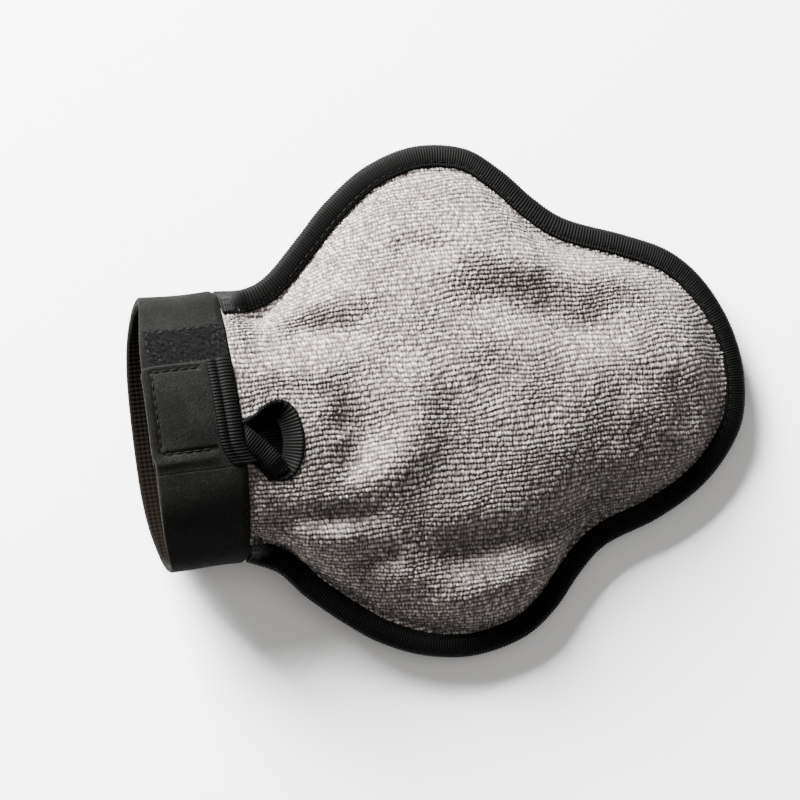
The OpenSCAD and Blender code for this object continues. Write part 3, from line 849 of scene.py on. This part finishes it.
def tab_relief(x, phi, s, out):
    y = HALF_ACROSS * np.sin(np.radians(phi))
    groove = -0.7 * np.exp(-(on_box(x, y) / 0.9) ** 2)
    ridge = 0.6 * np.exp(-((y - HINGE_Y + 2.2) / 1.6) ** 2) * smooth((SEAM_X - 8 - x) / 6)
    puff = 0.25 * smooth(np.minimum(x - MOUTH_X - 3, TAB_REACH - y - 3) / 6) * smooth((y - HINGE_Y - 3.5) / 5)
    sunk = -1.0 * smooth((x - SEAM_X + 2.6) / 2.4) * (1 - smooth((y - HINGE_Y) / 2))
    return np.where(out > 0, groove + ridge + puff + sunk, 0) + band_shape(x, phi) * (1 - smooth((y + 13) / 10))


def across_hinge(piece):
    """Bakes the piece's placing into its mesh; the piece is not bent at the fold."""
    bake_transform(piece)


tab = strap("closing_strap", 360 + SPLIT - 0.2, 360 + TAB_END, -1.5, 1.5, tab_left, tab_right, FOAM,
            step=0.45, relief=tab_relief, round_end=(False, True))
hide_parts("tab_band")
across_hinge(tab)


def knit_relief(x, phi, s, out):
    return band_shape(x, phi)


knit = strap("cuff_knit", HINGE - 4, 360 + SPLIT, -2.3, -1.5, lambda p: mouth(p) + 0.4, SEAM_X + 0.2, KNIT,
             relief=knit_relief)
trim(knit, "mitt", "cuff_knit", "cuff_lining")
knit = strap("tab_knit", 360 + SPLIT - 0.2, 360 + TAB_END - 0.8, -2.3, -1.5,
             lambda p: tab_left(p) + 0.5, lambda p: tab_right(p) - 0.4, KNIT)
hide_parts("tab_lining")
across_hinge(knit)


def nap_relief(x, phi, s, out):
    """Brushed loops: an uneven springy nap."""
    clump = ripple(x * 1.0, s, 2.6) + 0.8 * ripple(x + 31, s + 7, 1.5)
    return np.where(out > 2, 0.16 * clump, 0)


loops = strap("loop_tape", HINGE + 6, math.degrees(math.asin(39 / HALF_ACROSS)), 1.5, 2.6, MOUTH_X + 2.5, SEAM_X - 0.4,
              LOOPS, step=0.4, relief=nap_relief, round_end=(True, True))
trim(loops, "mitt", "loop", "loop_patch")
hooks = strap("hook_tape", 360 + HINGE + 4, 360 + TAB_END - 3, -2.75, -2.3, MOUTH_X + 2.5, SEAM_X - 12.9, HOOKS,
              round_end=(True, True))
trim(hooks, "closing_tab", "hook", "hook_patch")


def hook_field():
    """Rows of moulded stems with small heads under the tab, one modelled and the rest copied."""
    bpy.ops.object.select_all(action="DESELECT")
    bpy.ops.mesh.primitive_cylinder_add(vertices=6, radius=0.16, depth=0.5)
    bpy.ops.object.mode_set(mode="EDIT")
    bpy.ops.mesh.select_all(action="DESELECT")
    bpy.ops.object.mode_set(mode="OBJECT")
    stem = bpy.context.object
    for face in stem.data.polygons:
        face.select = face.normal.z > 0.9
    bpy.ops.object.mode_set(mode="EDIT")
    bpy.ops.mesh.extrude_region_move(TRANSFORM_OT_translate={"value": (0, 0, 0.04)})
    bpy.ops.transform.resize(value=(1.7, 1.7, 1))
    bpy.ops.mesh.extrude_region_move(TRANSFORM_OT_translate={"value": (0, 0, 0.12)})
    bpy.ops.transform.resize(value=(0.6, 0.6, 1))
    bpy.ops.object.mode_set(mode="OBJECT")
    shape = np.array([v.co for v in stem.data.vertices])
    polys = [tuple(p.vertices) for p in stem.data.polygons]
    mesh = stem.data
    bpy.data.objects.remove(stem)
    bpy.data.meshes.remove(mesh)
    phi, _ = arc_angles(HINGE + 5, TAB_END - 4, 1.3)
    points, faces = [], []
    for i, p in enumerate(phi):
        for x in np.arange(MOUTH_X + 3.3, SEAM_X - 13.5, 1.3):
            y, z = tube(p, LIFT / 2 - 2.95)
            y2, z2 = tube(p, LIFT / 2 - 3.95)
            down = np.array([0, y2 - y, z2 - z])
            side = np.cross([1.0, 0, 0], down)
            start = len(points) * len(shape)
            spot = np.array([x + 0.65 * (i % 2), y, z])
            points.append(spot + shape[:, :1] * [1, 0, 0] + shape[:, 1:2] * side - shape[:, 2:] * -down)
            faces += [tuple(start + v for v in f[::-1]) for f in polys]
    piece = new_piece("hook_stems", np.vstack(points), faces, HOOKS)
    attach(piece, "closing_tab")


hook_field()

TAB_TAPE = [(9.1, 1.55, 0), (9.3, 2.0, 0.3), (8.9, 2.35, 0.9), (7.6, 2.55, 1), (6.3, 2.4, 1), (5.6, 1.75, 0.8),
            (4.9, 2.4, 1), (3.6, 2.7, 1), (1.9, 2.6, 1), (0.7, 2.2, 1), (0.05, 1.3, 1), (-0.25, 0, 1),
            (-0.1, -1.4, 1), (0.6, -2.5, 1), (2.4, -2.85, 1), (5, -2.85, 1), (8.9, -2.85, 0.6), (9.1, -2.4, 0),
            (5, -2.2, 0), (1.2, -1.6, 0), (1.2, 1.0, 0)]
TAPE_FOOT = math.degrees(math.asin(-13.5 / HALF_ACROSS))


def oval_frame(phi, out):
    y, z = tube(phi, lap(phi) + out)
    y2, z2 = tube(phi, lap(phi) + out + 1)
    return y, z, np.column_stack([np.zeros_like(phi), y2 - y, z2 - z])


def tab_tape():
    phi, s = arc_angles(360 + TAPE_FOOT, 360 + TAB_END - 0.1, 0.2)
    y, z, up = oval_frame(phi, 0.0)
    # below the fold the tape leans over towards the slit's lower lip
    lean = 4.2 * np.clip((HINGE + 6 - phi + 360) / (HINGE + 6 - TAPE_FOOT), 0, 1) ** 2
    centre = np.column_stack([np.minimum(tab_side(phi), SEAM_X - 0.7) + 0.6 + lean, y, z])
    piece = sweep("tab_tape", centre, np.tile([-1.0, 0, 0], (len(phi), 1)), up, TAB_TAPE, TAPE, s, RIB, 0.4,
                  wobble=None, flip=True)
    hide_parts("tab_binding")
    across_hinge(piece)
    phi, _ = arc_angles(360 + HINGE + 2, 360 + TAB_END - 1.5, 0.8)
    y, z, up = oval_frame(phi, 1.6)
    row = stitch_row("tab_tape_stitches", np.column_stack([tab_side(phi) - 5.0, y, z]), up)
    trim(row, "closing_tab", "thread", "tab_binding_thread")


tab_tape()


def oval_stitches(name, places, out, body, node):
    """Stitches through a run of (x, angle) places on the cuff."""
    path, _ = resample(np.array(places, float), 0.5)
    y, z, up = oval_frame(path[:, 1], out)
    row = stitch_row(name, np.column_stack([path[:, 0], y, z]), up)
    trim(row, body, "thread", node)


FOOT = 360 + math.degrees(math.asin((HINGE_Y + 1) / HALF_ACROSS))
HEAD = 360 + math.degrees(math.asin((TAB_REACH - 2.2) / HALF_ACROSS))
oval_stitches("tab_box_stitches",
              [(SEAM_X - 13.5, HEAD), (MOUTH_X + 2.6, HEAD), (MOUTH_X + 2.6, FOOT), (SEAM_X - 12.5, FOOT)], 1.2,
              "closing_tab", "tab_box_thread")
oval_stitches("cuff_seam_stitches", [(SEAM_X - 1.6, 54), (SEAM_X - 1.6, 165)], 0.75, "mitt",
              "cuff_seam_thread")
oval_stitches("cuff_seam_stitches_lower", [(SEAM_X - 1.6, 195), (SEAM_X - 1.6, 344)], 0.75, "mitt", "cuff_seam_thread")
oval_stitches("loop_tape_stitches",
              [(MOUTH_X + 3.6, 36), (MOUTH_X + 3.6, 49), (SEAM_X - 3.6, 49), (SEAM_X - 3.6, 36)], 2.6,
              "mitt", "loop_patch_thread")


# ---------------------------------------------------------------------------
# Slit tape
# ---------------------------------------------------------------------------
LIP = [(4.2, -1.6, 0), (4.3, 0.3, 0.3), (3.9, 0.8, 0.8), (3.2, 0.7, 1), (2.4, 0.2, 1), (1.5, -0.7, 1),
       (0.5, -1.8, 1), (-0.6, -3.1, 1), (-1.8, -4.6, 1), (-3.2, -6.4, 1), (-2.8, -7.4, 0), (-0.6, -6.0, 0),
       (1.4, -4.0, 0), (3.2, -2.6, 0)]


def slit_tape():
    path, s = resample(SLIT[12:-10], 0.2)
    ahead = normals_of(path, 8)
    outward = np.column_stack([-ahead[:, 1], ahead[:, 0], np.zeros(len(path))])
    centre = np.column_stack([path, np.zeros(len(path))])

    def on_face(points, section):
        points[..., 0] = np.maximum(points[..., 0], SEAM_X + 0.2)
        points[..., 2] += front_ground(points[..., 0], points[..., 1]) + 0.5
        return points

    piece = sweep("slit_tape", centre, outward, np.tile([0.0, 0, 1], (len(path), 1)), LIP, TAPE, s, RIB, 0.35,
                  ground=on_face, flip=False)
    trim(piece, "mitt", "binding", "slit_binding")
    # the lower lip's tape crosses the foot of the slit from the end of the tab's tape
    run = free_curve([(0.4, 0.5), (5, -4.0), (10.5, -10.0), (13.5, -13.8), (16, -17.2)], 60)
    lip, s = resample(run + [SEAM_X, 0], 0.2)
    ahead = normals_of(lip, 8)
    outward = np.column_stack([ahead[:, 1], -ahead[:, 0], np.zeros(len(lip))])
    strip = [(-0.2, -1.6, 0.6), (-0.3, -0.2, 1), (0.3, 0.6, 1), (1.5, 0.9, 1), (3.2, 1.0, 1), (4.9, 1.0, 1),
             (6.2, 0.8, 0.8), (7, 0.6, 0.5), (8.0, 0.6, 0.3), (8.8, 0.2, 0.1), (9.0, -0.6, 0), (8, -0.9, 0),
             (4, -0.8, 0), (1.2, -1.5, 0)]
    rise = 0.9 * smooth(s / 5) * smooth((s[-1] - s) / 6)
    piece = sweep("slit_lower_tape", np.column_stack([lip, np.zeros(len(lip))]), outward,
                  np.tile([0.0, 0, 1], (len(lip), 1)), strip, TAPE, s, RIB, 0.4, wobble=rise, ground=on_face, flip=True)
    trim(piece, "mitt", "binding", "slit_binding")
    path = SLIT[30:-40:3] + normals_of(SLIT, 6)[30:-40:3][:, ::-1] * [-1, 1] * 3.4
    high = front_ground(path[:, 0], path[:, 1]) + 1.0
    row = stitch_row("slit_stitches", np.column_stack([path, high]), np.tile([0.0, 0, 1], (len(path), 1)))
    trim(row, "mitt", "thread", "slit_thread")


slit_tape()


def bar_tack(name, y, inward, node):
    """Six close stitches that pin the edge tape's end."""
    across = y + inward * np.linspace(0, 6, 5)
    rows = []
    for k in range(6):
        x = np.full(5, SEAM_X + 1.2 + k * 0.75)
        path = np.column_stack([x, across, column(3, x - SEAM_X) + 4.2 + opened(x, across)])
        rows.append(stitch_row(f"{name}_{k}", path, np.tile([0.0, 0, 1], (5, 1)), length=2.8, gap=0.2))
    bpy.ops.object.select_all(action="DESELECT")
    for row in rows:
        row.select_set(True)
    bpy.context.view_layer.objects.active = rows[0]
    bpy.ops.object.join()
    rows[0].name = name
    trim(rows[0], "mitt", "thread", node)


bar_tack("upper_tack", 49.0, -1, "upper_bar_tack")
bar_tack("lower_tack", -49.0, 1, "lower_bar_tack")


# ---------------------------------------------------------------------------
# Floor, lights and camera
# ---------------------------------------------------------------------------
bpy.ops.object.select_all(action="DESELECT")
bpy.ops.mesh.primitive_plane_add(size=6, location=(0, 0, -0.0005))
floor = bpy.context.object
floor.name = "studio_floor"
paper, _, paper_shader = new_finish("white_backdrop_paper", 0.9, 0.0, 0.5, 0.2)
paper_shader.inputs["Base Color"].default_value = linear("#fbfbfa")
floor.data.materials.append(paper)

world = bpy.data.worlds.new("studio")
world.use_nodes = True
world.node_tree.nodes["Background"].inputs["Color"].default_value = (1, 0.965, 0.94, 1)
world.node_tree.nodes["Background"].inputs["Strength"].default_value = 0.27
bpy.context.scene.world = world


def aim(thing, back, up):
    """Turns a light or camera so that it looks against back with up at the top."""
    b, u = Vector(back).normalized(), Vector(up)
    r = u.cross(b).normalized()
    u = b.cross(r)
    thing.matrix_world = Matrix.Translation(thing.location) @ Matrix((r, u, b)).transposed().to_4x4()


def softbox(name, place, size, power):
    light = bpy.data.lights.new(name, "AREA")
    light.size = size
    light.energy = power
    box = bpy.data.objects.new(name, light)
    bpy.context.scene.collection.objects.link(box)
    box.location = place
    bpy.context.view_layer.update()
    aim(box, place, (0, 0, 1))


softbox("key", (-0.8, 1.3, 0.68), 0.9, 460)
softbox("fill", (-0.2, 0.1, 1.6), 1.0, 6)

camera = bpy.data.objects.new("camera", bpy.data.cameras.new("camera"))
bpy.context.scene.collection.objects.link(camera)
TILT, ROLL, RANGE = math.radians(12), math.radians(7), 1.25
back = np.array([-math.sin(TILT), 0, math.cos(TILT)])
level = np.array([math.cos(TILT), 0, math.sin(TILT)])
camera_up = level * math.sin(ROLL) + np.array([0, 1.0, 0]) * math.cos(ROLL)
camera.location = tuple(np.array([-0.0178, 0.0021, 0.010]) + back * RANGE)
camera.data.lens = 36 * RANGE / 0.312
camera.data.clip_end = 20
bpy.context.view_layer.update()
aim(camera, tuple(back), tuple(camera_up))
bpy.context.scene.camera = camera
